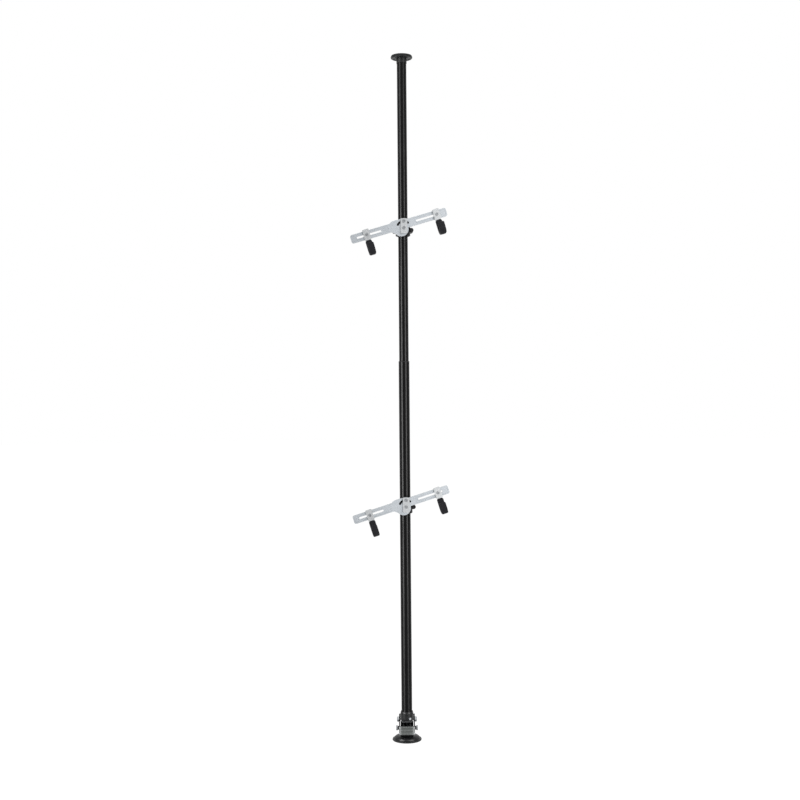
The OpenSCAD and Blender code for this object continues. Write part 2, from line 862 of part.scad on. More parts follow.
module clamp_knob(z) {
    outer = clamp_split + ear_t;
    face = outer + knob_stand_off;
    color("#17181a") translate([ear_bolt_x, 0, z + knob_z]) {
        lobed_knob(-face - knob_l, -face, clamp_knob_d, 5);
        rod_y(-face - over, -outer - 0.2, knob_stem_d);
        rod_y(-outer - over, outer, knob_screw_d);
    }
}

module face_plate(z) {
    color("#d5d8d9") translate([0, 0, z]) difference() {
        facing(plate_depth, face_t) rounded([-face_w / 2, -pad_low], [face_w / 2, pad_high], 4);
        for (up = [0, arc_r]) translate([0, 0, up])
            rod_y(plate_depth - over, plate_depth + face_t + over, pivot_bolt_d + 2 * fit);
    }
}

module pivot_bolts(z) {
    front = plate_depth + face_t;
    color("#c9ccce") for (up = [0, arc_r]) translate([0, 0, z + up]) {
        rod_y(bolt_bottom, front, pivot_bolt_d);
        difference() {
            rod_y(front, front + pivot_head_t, pivot_head_d);
            hex_y(front + 2, front + pivot_head_t + over, 6);
        }
    }
}

// Arms: outlines are drawn as [along the arm, up] from the pivot

module arm_outline() {
    low = arm_rise - arm_h / 2;
    high = arm_rise + arm_h / 2;
    rounded([-arm_left, low], [arm_right, high], arm_corner);
    intersection() {
        union() {
            circle(hub_r);
            translate([hump_x, hub_r - hump_r]) circle(hump_r);
            translate([hump_x, 0]) square([-hump_x, hub_r]);
        }
        translate([-2 * hub_r, low]) square([4 * hub_r, 2 * hub_r]);
    }
    translate(hub_low_at) circle(hub_low_r);
    polygon([[-flare_reach, low], [-36, hub_low_at[1] - 14], [-10, hub_low_at[1] - 14],
             [-10, low + 2], [-flare_reach, low + 2]]);
}

// A slot with round ends along a circle, between two angles
module arc_slot(r, w, from, to) {
    far = 2 * r;
    middle = (from + to) / 2;
    intersection() {
        difference() {
            circle(r + w / 2);
            circle(r - w / 2);
        }
        polygon([[0, 0], far * [cos(from), sin(from)], 2 * far * [cos(middle), sin(middle)],
                 far * [cos(to), sin(to)]]);
    }
    for (turn = [from, to]) rotate(turn) translate([r, 0]) circle(d = w - 0.02);
}

module arm_pockets() {
    low = arm_rise - arm_h / 2 + pocket_inset;
    high = arm_rise + arm_h / 2 - pocket_inset;
    difference() {
        union() {
            rounded([-arm_left + pocket_inset, low], [hump_x - hump_r, high], 4);
            rounded([hub_r + 8, low], [arm_right - pocket_inset, high], 4);
        }
        slot(-left_slot[1], -left_slot[0], arm_rise, slot_w + 8);
        slot(right_slot[0], right_slot[1], arm_rise, slot_w + 8);
    }
}

module arm(z, tilt) {
    color("#ccd0d2") translate([0, 0, z]) rotate([0, -tilt, 0]) difference() {
        facing(arm_depth, arm_t) arm_outline();
        facing(arm_depth - over, arm_t + 2 * over) {
            circle(d = pivot_bolt_d + 2 * fit);
            arc_slot(arc_r, pivot_bolt_d + 4 * face_gap, arc_from, arc_to);
            slot(-left_slot[1], -left_slot[0], arm_rise, slot_w);
            slot(right_slot[0], right_slot[1], arm_rise, slot_w);
        }
        facing(arm_depth + arm_t - pocket_depth, pocket_depth + over) arm_pockets();
    }
}

// Cradles

// Moves a piece drawn round the arm's pivot to a slider's place on a tilted arm
module on_arm(z, tilt, at) {
    translate([0, 0, z]) rotate([0, -tilt, 0]) translate([at, 0, 0]) children();
}

// The path of a hook as [y, z], of the given thickness, with its two legs' lengths
module hook_path(t, back, front) {
    translate([-cradle_depth, cradle_z]) {
        difference() {
            circle(bar_r + t / 2);
            circle(bar_r - t / 2);
            translate([-2 * bar_r, 0]) square([4 * bar_r, 2 * bar_r]);
        }
        translate([bar_r - t / 2, -over / 10]) square([t, back + over / 10]);
        translate([-bar_r - t / 2, -over / 10]) square([t, front + over / 10]);
    }
}

module slider(z, tilt, at) {
    low = arm_rise - slider_h / 2;
    edge = arm_h / 2 + face_gap;
    lip = slider_h / 2 - edge;
    color("#d5d8d9") on_arm(z, tilt, at) difference() {
        union() {
            facing(plate_depth, slider_t)
                rounded([-slider_w / 2, low], [slider_w / 2, low + slider_h], 3);
            for (base = [low, arm_rise + edge])
                facing(plate_depth - lip_t, lip_t + over)
                    translate([-slider_w / 2 + 3, base]) square([slider_w - 6, lip]);
        }
        translate([0, 0, arm_rise])
            rod_y(plate_depth - 2 * over, plate_depth + slider_t + over, slider_bolt_d + 2 * fit);
        translate([-bar_w / 2 - 2 * fit, -bar_depth - bar_t - 2 * fit, low - over])
            cube([bar_w + 4 * fit, bar_t + 4 * fit, arm_rise + bar_top + 2 * fit - low + over]);
    }
}

module slider_bolt(z, tilt, at) {
    front = plate_depth + slider_t;
    color("#c9ccce") on_arm(z, tilt, at) translate([0, 0, arm_rise]) {
        rod_y(arm_depth - face_gap - nut_t - 2, front, slider_bolt_d);
        difference() {
            rod_y(front, front + slider_head_t, slider_head_d);
            hex_y(front + 2, front + slider_head_t + over, 6);
        }
        difference() {
            facing(arm_depth - face_gap - nut_t, nut_t)
                translate([-nut_w / 2, -nut_h / 2]) square([nut_w, nut_h]);
            rod_y(0, arm_depth, slider_bolt_d + 2 * fit);
        }
    }
}

module hook(z, tilt, at) {
    color("#c3c6c8") on_arm(z, tilt, at) difference() {
        across(-bar_w / 2, bar_w)
            hook_path(bar_t, arm_rise + bar_top - cradle_z, bar_front);
        translate([0, 0, arm_rise])
            rod_y(bar_depth - over, bar_depth + bar_t + over, slider_bolt_d + 2 * fit);
    }
}

module hook_pad(z, tilt, at) {
    low = cradle_z - cradle_r - cradle_t;
    color("#17181a") on_arm(z, tilt, at) difference() {
        intersection() {
            across(-cradle_w / 2, cradle_w) union() {
                hook_path(cradle_t, cradle_back, cradle_front - cradle_t / 2);
                translate([-cradle_depth - bar_r, cradle_z + cradle_front - cradle_t / 2])
                    circle(d = cradle_t);
            }
            union() {
                facing(cradle_depth, 2 * bar_r)
                    rounded([-cradle_w / 2, low], [cradle_w / 2, cradle_z + cradle_front], cradle_corner);
                facing(cradle_depth - 2 * bar_r, 2 * bar_r)
                    rounded([-cradle_w / 2, low], [cradle_w / 2, cradle_z + cradle_back], cradle_corner);
            }
        }
        across(-bar_w / 2 - 2 * fit, bar_w + 4 * fit)
            hook_path(bar_t + 4 * fit, cradle_back + over, bar_front + 2 * fit);
    }
}

// Nodes of the upper mount

module upper_liner() liner(upper_mount_z, upper_od);
module upper_clamp_front() clamp_front(upper_mount_z);
module upper_clamp_rear() clamp_rear(upper_mount_z);
module upper_clamp_bolts() clamp_bolts(upper_mount_z);
module upper_clamp_knob() clamp_knob(upper_mount_z);
module upper_face_plate() face_plate(upper_mount_z);
module upper_pivot_bolts() pivot_bolts(upper_mount_z);
module upper_arm() arm(upper_mount_z, upper_tilt);
module upper_left_slider() slider(upper_mount_z, upper_tilt, -upper_left_at);
module upper_left_slider_bolt() slider_bolt(upper_mount_z, upper_tilt, -upper_left_at);
module upper_left_hook() hook(upper_mount_z, upper_tilt, -upper_left_at);
module upper_left_hook_pad() hook_pad(upper_mount_z, upper_tilt, -upper_left_at);
module upper_right_slider() slider(upper_mount_z, upper_tilt, upper_right_at);
module upper_right_slider_bolt() slider_bolt(upper_mount_z, upper_tilt, upper_right_at);
module upper_right_hook() hook(upper_mount_z, upper_tilt, upper_right_at);
module upper_right_hook_pad() hook_pad(upper_mount_z, upper_tilt, upper_right_at);

// Nodes of the lower mount

module lower_liner() liner(lower_mount_z, lower_od);
module lower_clamp_front() clamp_front(lower_mount_z);
module lower_clamp_rear() clamp_rear(lower_mount_z);
module lower_clamp_bolts() clamp_bolts(lower_mount_z);
module lower_clamp_knob() clamp_knob(lower_mount_z);
module lower_face_plate() face_plate(lower_mount_z);
module lower_pivot_bolts() pivot_bolts(lower_mount_z);
module lower_arm() arm(lower_mount_z, lower_tilt);
module lower_left_slider() slider(lower_mount_z, lower_tilt, -lower_left_at);
module lower_left_slider_bolt() slider_bolt(lower_mount_z, lower_tilt, -lower_left_at);
module lower_left_hook() hook(lower_mount_z, lower_tilt, -lower_left_at);
module lower_left_hook_pad() hook_pad(lower_mount_z, lower_tilt, -lower_left_at);
module lower_right_slider() slider(lower_mount_z, lower_tilt, lower_right_at);
module lower_right_slider_bolt() slider_bolt(lower_mount_z, lower_tilt, lower_right_at);
module lower_right_hook() hook(lower_mount_z, lower_tilt, lower_right_at);
module lower_right_hook_pad() hook_pad(lower_mount_z, lower_tilt, lower_right_at);

floor_sole();
floor_pad();
base_yoke();
base_fasteners();
guide_spindle();
guide_disc();
column_foot();
wear_plate();
foot_screws();
rocker_shaft();
shaft_spacers();
rocker_arms();
front_tread();
rear_tread();
lift_cams();
tread_bolts();
lower_tube();
telescope_bush();
upper_tube();
slide_plug();
lock_boss();
lock_knob();
ceiling_cap();
ceiling_sole();
ceiling_stem();
top_bush();
tension_spring();
spring_seat();
upper_liner();
upper_clamp_front();
upper_clamp_rear();
upper_clamp_bolts();
upper_clamp_knob();
upper_face_plate();
upper_pivot_bolts();
upper_arm();
upper_left_slider();
upper_left_slider_bolt();
upper_left_hook();
upper_left_hook_pad();
upper_right_slider();
upper_right_slider_bolt();
upper_right_hook();
upper_right_hook_pad();
lower_liner();
lower_clamp_front();
lower_clamp_rear();
lower_clamp_bolts();
lower_clamp_knob();
lower_face_plate();
lower_pivot_bolts();
lower_arm();
lower_left_slider();
lower_left_slider_bolt();
lower_left_hook();
lower_left_hook_pad();
lower_right_slider();
lower_right_slider_bolt();
lower_right_hook();
lower_right_hook_pad();
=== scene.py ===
"""The looks of a bike storage stand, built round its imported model. Lengths are in metres."""

import json
import math

import bmesh
import bpy
from mathutils import Matrix, Vector


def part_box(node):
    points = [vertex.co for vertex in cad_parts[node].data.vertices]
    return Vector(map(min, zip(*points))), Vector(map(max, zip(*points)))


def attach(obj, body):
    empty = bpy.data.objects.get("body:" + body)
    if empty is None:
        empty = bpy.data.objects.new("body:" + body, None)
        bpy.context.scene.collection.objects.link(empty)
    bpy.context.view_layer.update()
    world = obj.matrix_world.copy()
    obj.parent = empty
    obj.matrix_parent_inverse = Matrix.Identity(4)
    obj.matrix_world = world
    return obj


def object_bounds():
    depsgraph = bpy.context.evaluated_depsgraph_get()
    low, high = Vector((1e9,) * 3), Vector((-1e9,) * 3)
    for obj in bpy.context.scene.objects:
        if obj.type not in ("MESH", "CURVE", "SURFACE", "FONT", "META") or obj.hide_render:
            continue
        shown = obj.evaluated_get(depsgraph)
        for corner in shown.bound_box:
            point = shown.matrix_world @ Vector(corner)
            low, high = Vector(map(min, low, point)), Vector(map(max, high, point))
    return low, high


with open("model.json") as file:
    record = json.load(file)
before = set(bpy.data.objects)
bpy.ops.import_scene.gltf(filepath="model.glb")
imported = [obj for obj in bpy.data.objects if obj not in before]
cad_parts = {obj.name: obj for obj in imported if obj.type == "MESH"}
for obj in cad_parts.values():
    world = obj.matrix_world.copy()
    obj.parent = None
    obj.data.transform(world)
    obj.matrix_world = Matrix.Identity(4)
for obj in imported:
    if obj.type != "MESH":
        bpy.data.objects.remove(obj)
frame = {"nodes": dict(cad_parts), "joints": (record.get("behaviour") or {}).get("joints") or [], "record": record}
NODES = frame["nodes"]
JOINTS = {joint["name"]: joint for joint in frame["joints"]}
MOUNTS = {mount["name"]: mount for mount in frame["record"]["mounts"]}
SLOTS = {part["node"]: part["material_slot"] for part in frame["record"]["subparts"]}
CAD_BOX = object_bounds()
MM = 0.001
ARMS = ("upper", "lower")
SIDES = ("left", "right")

# Camera: where the photograph was taken from, in the row's frame
CAMERA_DISTANCE = 5.165
CAMERA_TURN = math.radians(-5.0)
CAMERA_HEIGHT = 1.42
CAMERA_PITCH = math.radians(0.065)
CAMERA_ROLL = math.radians(-0.476)
CAMERA_LENS = 55.38
CAMERA_SENSOR = 36.0
POLE_PIXEL = 404.3
PICTURE_WIDTH = 800.0


def make_camera():
    """Places the camera at the photograph's viewing angle."""
    data = bpy.data.cameras.new("camera")
    data.lens = CAMERA_LENS
    data.sensor_width = CAMERA_SENSOR
    camera = bpy.data.objects.new("camera", data)
    bpy.context.scene.collection.objects.link(camera)
    pixels = CAMERA_LENS / CAMERA_SENSOR * PICTURE_WIDTH
    aside = math.atan((POLE_PIXEL - PICTURE_WIDTH / 2) / pixels)
    turn = CAMERA_TURN + aside
    ahead = Vector((-math.sin(turn), math.cos(turn), math.tan(CAMERA_PITCH)))
    camera.location = (
        CAMERA_DISTANCE * math.sin(CAMERA_TURN),
        -CAMERA_DISTANCE * math.cos(CAMERA_TURN),
        CAMERA_HEIGHT,
    )
    look = ahead.to_track_quat("-Z", "Y").to_matrix().to_4x4()
    camera.rotation_euler = (look @ Matrix.Rotation(CAMERA_ROLL, 4, "Z")).to_euler()
    bpy.context.scene.camera = camera


# Materials


class Shader:
    """One procedural material, with short calls for the nodes that these finishes share."""

    def __init__(self, name, metallic=0.0, specular=0.5):
        self.material = bpy.data.materials.new(name)
        self.material.use_nodes = True
        self.nodes = self.material.node_tree.nodes
        self.links = self.material.node_tree.links
        self.surface = self.nodes["Principled BSDF"]
        self.surface.inputs["Metallic"].default_value = metallic
        self.surface.inputs["Specular IOR Level"].default_value = specular
        self.place = self.nodes.new("ShaderNodeTexCoord").outputs["Object"]

    def stretched(self, stretch):
        """The object's coordinates, scaled along each axis."""
        mapping = self.nodes.new("ShaderNodeMapping")
        mapping.inputs["Scale"].default_value = stretch
        self.links.new(self.place, mapping.inputs["Vector"])
        return mapping.outputs["Vector"]

    def noise(self, scale, detail=3.0, stretch=(1, 1, 1)):
        """Soft noise, with scale in features per metre."""
        node = self.nodes.new("ShaderNodeTexNoise")
        node.inputs["Scale"].default_value = scale
        node.inputs["Detail"].default_value = detail
        self.links.new(self.stretched(stretch), node.inputs["Vector"])
        return node.outputs["Fac"]

    def beyond(self, direction, limit, soft=0.3 * MM):
        """One past a plane, given by its direction and its distance from the origin."""
        dot = self.nodes.new("ShaderNodeVectorMath")
        dot.operation = "DOT_PRODUCT"
        dot.inputs[1].default_value = direction
        self.links.new(self.place, dot.inputs[0])
        node = self.nodes.new("ShaderNodeMapRange")
        node.inputs["From Min"].default_value = limit - soft
        node.inputs["From Max"].default_value = limit + soft
        self.links.new(dot.outputs["Value"], node.inputs["Value"])
        return node.outputs["Result"]

    def largest(self, *values):
        """The largest of several values."""
        total = values[0]
        for value in values[1:]:
            node = self.nodes.new("ShaderNodeMath")
            node.operation = "MAXIMUM"
            self.links.new(total, node.inputs[0])
            self.links.new(value, node.inputs[1])
            total = node.outputs[0]
        return total

    def brushed_round(self, amount):
        """Stretches the highlights along Z, as fine lines round a tube do."""
        around = self.nodes.new("ShaderNodeTangent")
        around.direction_type = "RADIAL"
        around.axis = "Z"
        self.links.new(around.outputs["Tangent"], self.surface.inputs["Tangent"])
        self.surface.inputs["Anisotropic"].default_value = amount
        self.surface.inputs["Anisotropic Rotation"].default_value = 0.25

    def shade(self, mask, tone):
        """Gives the colour another shade where a mask is one."""
        node = self.nodes.new("ShaderNodeMix")
        node.data_type = "RGBA"
        under = self.surface.inputs["Base Color"].links[0].from_socket
        self.links.new(under, node.inputs["A"])
        node.inputs["B"].default_value = (*tone, 1)
        self.links.new(mask, node.inputs["Factor"])
        self.links.new(node.outputs["Result"], self.surface.inputs["Base Color"])

    def cells(self, scale):
        """The pebbled cells of a moulded grain."""
        node = self.nodes.new("ShaderNodeTexVoronoi")
        node.inputs["Scale"].default_value = scale
        self.links.new(self.place, node.inputs["Vector"])
        return node.outputs["Distance"]

    def spread(self, value, low, high):
        """Spreads the middle of a noise between two values."""
        node = self.nodes.new("ShaderNodeMapRange")
        node.inputs["From Min"].default_value = 0.3
        node.inputs["From Max"].default_value = 0.7
        node.inputs["To Min"].default_value = low
        node.inputs["To Max"].default_value = high
        self.links.new(value, node.inputs["Value"])
        return node.outputs["Result"]

    def color(self, value, dark, light):
        """Colours the surface between two shades by a noise."""
        node = self.nodes.new("ShaderNodeMix")
        node.data_type = "RGBA"
        node.inputs["A"].default_value = (*dark, 1)
        node.inputs["B"].default_value = (*light, 1)
        self.links.new(self.spread(value, 0, 1), node.inputs["Factor"])
        self.links.new(node.outputs["Result"], self.surface.inputs["Base Color"])

    def rough(self, value, low, high):
        """Varies the roughness between two values by a noise."""
        self.links.new(self.spread(value, low, high), self.surface.inputs["Roughness"])

    def bump(self, *layers):
        """Stacks bumps, each a height and its depth in metres."""
        normal = None
        for height, depth in layers:
            node = self.nodes.new("ShaderNodeBump")
            node.inputs["Strength"].default_value = 1.0
            node.inputs["Distance"].default_value = depth
            self.links.new(height, node.inputs["Height"])
            if normal is not None:
                self.links.new(normal, node.inputs["Normal"])
            normal = node.outputs["Normal"]
        self.links.new(normal, self.surface.inputs["Normal"])


def black_tube():
    """Gloss black anodised tube, with the faint lines that polishing leaves round it."""
    shader = Shader("black_tube", specular=0.1)
    lines = shader.noise(900, 2, (0.02, 0.02, 1))
    cloud = shader.noise(14, 4)
    shader.color(cloud, (0.0014, 0.0013, 0.0014), (0.003, 0.0028, 0.003))
    shader.rough(cloud, 0.3, 0.34)
    shader.brushed_round(0.88)
    shader.bump((lines, 0.004 * MM))
    return shader.material


def black_cast():
    """Satin black powder coat, with its orange peel."""
    shader = Shader("black_cast", specular=0.2)
    cloud = shader.noise(45, 4)
    shader.color(cloud, (0.006, 0.0066, 0.0072), (0.013, 0.0138, 0.0148))
    shader.rough(cloud, 0.32, 0.42)
    shader.bump((shader.noise(650, 3), 0.12 * MM), (shader.noise(2600, 2), 0.03 * MM))
    return shader.material


def black_plastic():
    """Moulded black plastic with a pebbled grain."""
    shader = Shader("black_plastic", specular=0.4)
    cloud = shader.noise(70, 4)
    shader.color(cloud, (0.009, 0.009, 0.01), (0.019, 0.019, 0.021))
    shader.rough(cloud, 0.46, 0.6)
    shader.bump((shader.cells(1500), 0.14 * MM), (shader.noise(240, 2), 0.05 * MM))
    return shader.material


def rubber(name, dark, light):
    """Matt rubber with a dusty bloom."""
    shader = Shader(name, specular=0.3)
    cloud = shader.noise(120, 5)
    shader.color(cloud, dark, light)
    shader.rough(cloud, 0.66, 0.86)
    shader.bump((shader.cells(2200), 0.12 * MM), (shader.noise(500, 3), 0.1 * MM))
    return shader.material


def blasted_alloy(name, dark, light, low, high):
    """Bead blasted and anodised alloy, with a fine even grain."""
    shader = Shader(name, metallic=0.85)
    cloud = shader.noise(26, 4)
    shader.color(cloud, dark, light)
    shader.rough(cloud, low, high)
    shader.bump((shader.noise(3800, 2), 0.01 * MM), (shader.noise(90, 3), 0.03 * MM))
    return shader.material


# Turn of the front tread's face from upright, and where its ribs start and end out from the shaft
TREAD_TURN = math.radians(25)
TREAD_RIB_FROM = 31 * MM
TREAD_RIB_TOP = 32.2 * MM
# Where the tread's borders with a painted highlight start, to each side of its middle
TREAD_BORDER = 24 * MM


def tread_frame():
    """The shaft's middle, and the directions across the front tread and out of its face."""
    shaft = Vector(JOINTS["rocker_turn"]["pos_m"])
    across = -Vector(JOINTS["rocker_turn"]["axis"])
    up = Vector((0, 0, 1))
    front = across.cross(up)
    return shaft, across, front * math.cos(TREAD_TURN) + up * math.sin(TREAD_TURN)


def ribbed_alloy():
    """Cast alloy, with painted highlights on its ribs and borders that leave the grooves between the ribs darker.
    """
    shader = Shader("ribbed_alloy", metallic=0.85)
    shaft, across, out = tread_frame()
    cloud = shader.noise(60, 4)
    shader.color(cloud, (0.095, 0.103, 0.099), (0.125, 0.133, 0.129))
    # Painted highlight: the ribs' faces, out past the grooves, are lighter
    shader.shade(shader.beyond(out, out.dot(shaft) + TREAD_RIB_FROM), (0.16, 0.17, 0.165))
    # Painted highlight: the tread's side borders are lighter still
    shader.shade(
        shader.largest(
            shader.beyond(across, across.dot(shaft) + TREAD_BORDER),
            shader.beyond(-across, -across.dot(shaft) + TREAD_BORDER),
        ),
        (0.27, 0.28, 0.277),
    )
    shader.rough(cloud, 0.42, 0.56)
    shader.bump((shader.noise(1500, 3), 0.04 * MM), (shader.noise(200, 3), 0.06 * MM))
    return shader.material


def bright_alloy():
    """Tumbled bright alloy, with short lines from its linishing."""
    shader = Shader("bright_alloy", metallic=0.9)
    lines = shader.noise(700, 3, (0.12, 1, 1))
    shader.color(lines, (0.43, 0.444, 0.454), (0.5, 0.512, 0.52))
    shader.rough(lines, 0.24, 0.4)
    shader.bump((lines, 0.03 * MM), (shader.noise(140, 3), 0.04 * MM))
    return shader.material


# Height that parts the foot's screws from those of the mounts, where the painted shade starts
MOUNT_SCREWS_FROM = 0.3


def zinc_steel():
    """Zinc plate, cloudy and a little blue, with painted shade that makes the mounts' screws darker than the
    foot's.
    """
    shader = Shader("zinc_steel", metallic=1.0)
    cloud = shader.noise(160, 4)
    shader.color(cloud, (0.36, 0.38, 0.41), (0.52, 0.53, 0.53))
    # Painted shade: the screws above this height, at the mounts, are darker
    shader.shade(shader.beyond((0, 0, 1), MOUNT_SCREWS_FROM), (0.26, 0.27, 0.28))
    shader.rough(cloud, 0.18, 0.34)
    shader.bump((shader.noise(1800, 3), 0.03 * MM))
    return shader.material


def ground_steel():
    """Turned and ground steel, with rings from the lathe."""
    shader = Shader("ground_steel", metallic=1.0)
    rings = shader.noise(1600, 2, (1, 0.05, 1))
    shader.color(rings, (0.25, 0.26, 0.275), (0.4, 0.41, 0.42))
    shader.rough(rings, 0.2, 0.36)
    shader.bump((rings, 0.02 * MM))
    return shader.material


def spring_steel():
    """Zinc plated spring wire with drawing marks."""
    shader = Shader("spring_steel", metallic=1.0)
    cloud = shader.noise(600, 3)
    shader.color(cloud, (0.42, 0.43, 0.45), (0.62, 0.63, 0.64))
    shader.rough(cloud, 0.28, 0.42)
    shader.bump((shader.noise(2400, 2), 0.03 * MM))
    return shader.material


def white_plastic():
    """Natural turned nylon, waxy and slightly cloudy."""
    shader = Shader("white_plastic", specular=0.45)
    cloud = shader.noise(80, 4)
    shader.color(cloud, (0.7, 0.69, 0.65), (0.8, 0.8, 0.77))
    shader.rough(cloud, 0.4, 0.52)
    shader.bump((shader.noise(1200, 2, (1, 1, 0.2)), 0.04 * MM))
    return shader.material


def make_materials():
    """Every finish, under the name of the record's material slot."""
    return {
        "black_tube": black_tube(),
        "black_cast": black_cast(),
        "black_plastic": black_plastic(),
        "rubber_black": rubber("rubber_black", (0.013, 0.013, 0.014), (0.027, 0.027, 0.028)),
        "cradle_rubber": rubber("cradle_rubber", (0.007, 0.007, 0.009), (0.017, 0.017, 0.021)),
        "silver_alloy": blasted_alloy(
            "silver_alloy", (0.43, 0.457, 0.484), (0.48, 0.508, 0.534), 0.36, 0.42
        ),
        "ribbed_alloy": ribbed_alloy(),
        "bright_alloy": bright_alloy(),
        "zinc_steel": zinc_steel(),
        "ground_steel": ground_steel(),
        "spring_steel": spring_steel(),
        "white_plastic": white_plastic(),
    }


# Carried-over nodes

# Radius of the broken edges of each finish, with none on the spring's wire
EDGE = {
    "black_tube": 0.25 * MM,
    "black_cast": 0.7 * MM,
    "black_plastic": 0.8 * MM,
    "rubber_black": 0.8 * MM,
    "cradle_rubber": 1.8 * MM,
    "silver_alloy": 0.7 * MM,
    "ribbed_alloy": 0.5 * MM,
    "bright_alloy": 1.0 * MM,
    "zinc_steel": 0.4 * MM,
    "ground_steel": 0.3 * MM,
    "white_plastic": 0.4 * MM,
}
# Edges that turn by less than this are left smooth
EDGE_TURN = math.radians(32)
# Points closer than this are one
MERGE_DISTANCE = 0.005 * MM


def break_edges(piece, width):
    """Rounds the sharp edges of a piece and smooths its curved faces."""
    weld = piece.modifiers.new("weld", "WELD")
    weld.merge_threshold = MERGE_DISTANCE
    bevel = piece.modifiers.new("edges", "BEVEL")
    bevel.width = width
    bevel.segments = 3
    bevel.limit_method = "ANGLE"
    bevel.angle_limit = EDGE_TURN
    normals = piece.modifiers.new("normals", "WEIGHTED_NORMAL")
    normals.keep_sharp = True


def dress_nodes(materials):
    """Gives every CAD node its finish and its broken edges."""
    for name, node in NODES.items():
        slot = SLOTS[name]
        for holder in node.material_slots:
            holder.material = materials[slot]
        if slot in EDGE:
            break_edges(node, EDGE[slot])


# Pieces made here


def new_piece(name, mesh, body, slot, materials):
    """Turns a bmesh into a piece that rides on a body."""
    data = bpy.data.meshes.new(name)
    bmesh.ops.recalc_face_normals(mesh, faces=mesh.faces)
    mesh.to_mesh(data)
    mesh.free()
    for face in data.polygons:
        face.use_smooth = True
    piece = bpy.data.objects.new(name, data)
    bpy.context.scene.collection.objects.link(piece)
    data.materials.append(materials[slot])
    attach(piece, body)


# Places along a rib, as shares of its length, and how full it is there
BAR_ENDS = ((-0.5, 0.35), (-0.46, 1.0), (0.46, 1.0), (0.5, 0.35))


def add_bar(mesh, place, length, width, height):
    """A low rounded rib along X, that stands on the plane z = 0 of its place."""
    steps = 8
    rows = []
    for end, shrink in BAR_ENDS:
        row = []
        for i in range(steps + 1):
            turn = math.pi * i / steps
            point = (
                end * length,
                width / 2 * math.cos(turn) * shrink,
                height * math.sin(turn) * shrink,
            )
            row.append(mesh.verts.new(place @ Vector(point)))
        rows.append(row)
    for a, b in zip(rows, rows[1:]):
        for i in range(steps):
            mesh.faces.new((a[i], a[i + 1], b[i + 1], b[i]))
        mesh.faces.new((a[0], b[0], b[steps], a[steps]))
    mesh.faces.new(rows[0])
    mesh.faces.new(list(reversed(rows[-1])))


# Inside of a cradle's pad, and the length, width and height of the ribs in it
CRADLE_RADIUS = 18 * MM
CRADLE_RIB = (23 * MM, 2.4 * MM, 0.9 * MM)
# Turns of the ribs in its round bottom, and heights of those on its straight walls
CRADLE_ROUND_RIBS = range(-80, 81, 20)
CRADLE_WALL_RIBS = (7 * MM, 14 * MM)


def arm_tilt(arm):
    """The tilt of an arm, from the direction that its right slider moves in."""
    along = JOINTS[f"{arm}_right_slide"]["axis"]
    return math.atan2(along[2], along[0])


def cradle_ribs(arm, side, materials):
    """The grip ribs that are moulded inside a cradle's pad."""
    centre = Matrix.Translation(Vector(MOUNTS[f"{arm}_{side}_cradle"]["pos_m"]))
    tilted = centre @ Matrix.Rotation(-arm_tilt(arm), 4, "Y")
    to_wall = Matrix.Translation((0, 0, -CRADLE_RADIUS))
    mesh = bmesh.new()
    for degrees in CRADLE_ROUND_RIBS:
        spin = Matrix.Rotation(math.radians(degrees), 4, "X")
        add_bar(mesh, tilted @ spin @ to_wall, *CRADLE_RIB)
    for degrees in (-90, 90):
        spin = Matrix.Rotation(math.radians(degrees), 4, "X")
        for up in CRADLE_WALL_RIBS:
            rise = Matrix.Translation((0, 0, up))
            add_bar(mesh, tilted @ rise @ spin @ to_wall, *CRADLE_RIB)
    name = f"{arm}_{side}_cradle_ribs"
    new_piece(name, mesh, f"{arm}_{side}_cradle", "cradle_rubber", materials)


def join_rings(mesh, rings):
    """Skins closed rings of points, from each ring to the next and from the last to the first."""
    for ring, following in zip(rings, rings[1:] + rings[:1]):
        for k, point in enumerate(ring):
            after = (k + 1) % len(ring)
            mesh.faces.new((point, ring[after], following[after], following[k]))


def add_turned(mesh, place, profile):
    """A turned solid round the Z axis of its place, from a closed profile of (radius, height)."""
    steps = 72
    rings = []
    for i in range(steps):
        spin = Matrix.Rotation(2 * math.pi * i / steps, 4, "Z")
        rings.append([mesh.verts.new(place @ spin @ Vector((r, 0, z))) for r, z in profile])
    join_rings(mesh, rings)


# How deep a bead or a cap sits in what carries it
SUNK = 0.5 * MM


def bead(radius, height, width, rise):
    """The profile of a rounded bead round a shaft of the given radius."""
    steps = 6
    half = width / 2
    turns = [math.pi * i / steps for i in range(steps + 1)]
    face = [(radius + rise * math.sin(turn), height - half * math.cos(turn)) for turn in turns]
    return face + [(radius - SUNK, height + half), (radius - SUNK, height - half)]


# Distance up the front tread of each rib that has teeth, and the size of the teeth
SERRATED_RIBS = (-31.25 * MM, -18 * MM, -4.75 * MM)
SERRATION_PITCH = 1.7 * MM
SERRATION_LENGTH = 44 * MM
SERRATION_WIDTH = 0.7 * SERRATION_PITCH
SERRATION_HEIGHT = 0.45 * MM


def serrations(materials):
    """Fine teeth along the ribs of the front tread."""
    shaft, across, out = tread_frame()
    along = out.cross(across)
    axes = Matrix((across, along, out)).transposed().to_4x4()
    base = Matrix.Translation(shaft + out * TREAD_RIB_TOP) @ axes
    mesh = bmesh.new()
    for rib in SERRATED_RIBS:
        for row in (-1, 0, 1):
            place = base @ Matrix.Translation((0, rib + row * SERRATION_PITCH, 0))
            add_bar(mesh, place, SERRATION_LENGTH, SERRATION_WIDTH, SERRATION_HEIGHT)
    new_piece("tread_serrations", mesh, "rocker", "ribbed_alloy", materials)


# Radius of a knob's cap, as a share of the knob's width, and of the dimple at its middle
CAP_SHARE = 0.29
CAP_DIMPLE = 0.3 * MM
# Heights of the cap's face, of the foot of its rim and of the rim, over the knob's back
CAP_FACE = 0.6 * MM
CAP_SIDE = 0.9 * MM
CAP_RIM = 1.3 * MM


